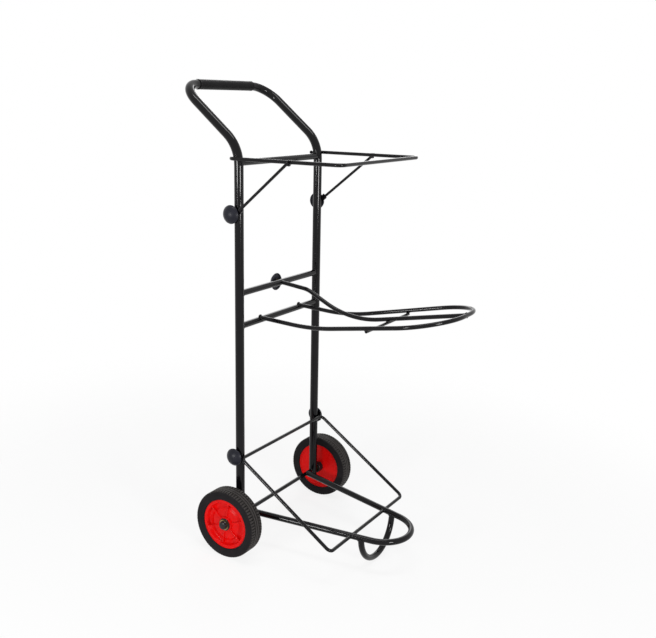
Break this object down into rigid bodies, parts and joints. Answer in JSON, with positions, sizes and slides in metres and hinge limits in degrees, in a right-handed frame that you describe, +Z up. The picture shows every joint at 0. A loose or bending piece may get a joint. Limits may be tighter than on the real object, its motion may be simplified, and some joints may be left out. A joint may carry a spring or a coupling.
{
  "type": "tack trolley",
  "caption": "Two-wheeled tubular tack trolley with a raked handle, rod shelf frame, saddle rack, carrying base with round foot, and hand knobs that clamp the fittings.",
  "frame": {"origin": "middle of the whole trolley's footprint, on the floor under it", "axes": "+Z up, +Y back towards the handle, +X along the axle towards the user's left"},
  "size_m": [0.5744, 0.8448, 1.3161],
  "materials": {
    "black_powder_coat": "gloss",
    "grip_sleeve": "satin",
    "knob_plastic": "satin",
    "red_plastic": "satin",
    "tyre_rubber": "matte",
    "hub_plastic": "satin",
    "zinc_steel": "yellow zinc"
  },
  "bodies": {
    "frame": {"axle": "black_powder_coat", "base_frame": "black_powder_coat", "foot_loop": "black_powder_coat", "handle_grip": "grip_sleeve", "knob_washers": "zinc_steel", "left_axle_cap": "hub_plastic", "left_brace": "black_powder_coat", "left_knob_tab": "black_powder_coat", "left_stay_lug": "black_powder_coat", "lower_crossbar": "black_powder_coat", "main_frame": "black_powder_coat", "right_axle_cap": "hub_plastic", "right_brace": "black_powder_coat", "right_knob_tab": "black_powder_coat", "right_stay_lug": "black_powder_coat", "saddle_rack_cross_rod": "black_powder_coat", "saddle_rack_loop": "black_powder_coat", "saddle_rack_spine": "black_powder_coat", "shelf_crossbar": "black_powder_coat", "shelf_frame": "black_powder_coat", "stay_loop": "black_powder_coat", "upper_crossbar": "black_powder_coat", "wheel_washers": "zinc_steel"},
    "left_wheel": {"left_tyre": "tyre_rubber", "left_wheel_centre": "red_plastic", "left_hub_bush": "hub_plastic"},
    "right_wheel": {"right_tyre": "tyre_rubber", "right_wheel_centre": "red_plastic", "right_hub_bush": "hub_plastic"},
    "left_upper_knob": {"left_upper_knob": "knob_plastic", "left_upper_knob_bolt": "zinc_steel"},
    "left_lower_knob": {"left_lower_knob": "knob_plastic", "left_lower_knob_bolt": "zinc_steel"},
    "right_upper_knob": {"right_upper_knob": "knob_plastic", "right_upper_knob_bolt": "zinc_steel"},
    "right_lower_knob": {"right_lower_knob": "knob_plastic", "right_lower_knob_bolt": "zinc_steel"},
    "middle_knob": {"middle_knob": "knob_plastic", "middle_knob_bolt": "zinc_steel"}
  },
  "joints": [
    {"name": "left_wheel_spin", "type": "hinge", "parent": "frame", "child": "left_wheel", "pos_m": [0.2528, 0.1272, 0.1], "axis": [1, 0, 0], "continuous": true},
    {"name": "right_wheel_spin", "type": "hinge", "parent": "frame", "child": "right_wheel", "pos_m": [-0.2528, 0.1272, 0.1], "axis": [1, 0, 0], "continuous": true},
    {"name": "left_upper_knob_turn", "type": "hinge", "parent": "frame", "child": "left_upper_knob", "pos_m": [0.21375, 0.20155, 0.97695], "axis": [1, 0, 0], "continuous": true},
    {"name": "left_lower_knob_turn", "type": "hinge", "parent": "frame", "child": "left_lower_knob", "pos_m": [0.21375, 0.14708, 0.28406], "axis": [1, 0, 0], "continuous": true},
    {"name": "right_upper_knob_turn", "type": "hinge", "parent": "frame", "child": "right_upper_knob", "pos_m": [-0.21375, 0.20155, 0.97695], "axis": [-1, 0, 0], "continuous": true},
    {"name": "right_lower_knob_turn", "type": "hinge", "parent": "frame", "child": "right_lower_knob", "pos_m": [-0.21375, 0.14708, 0.28406], "axis": [-1, 0, 0], "continuous": true},
    {"name": "middle_knob_turn", "type": "hinge", "parent": "frame", "child": "middle_knob", "pos_m": [0, 0.18233, 0.75876], "axis": [0, 0.9976, -0.0698], "continuous": true}
  ]
}
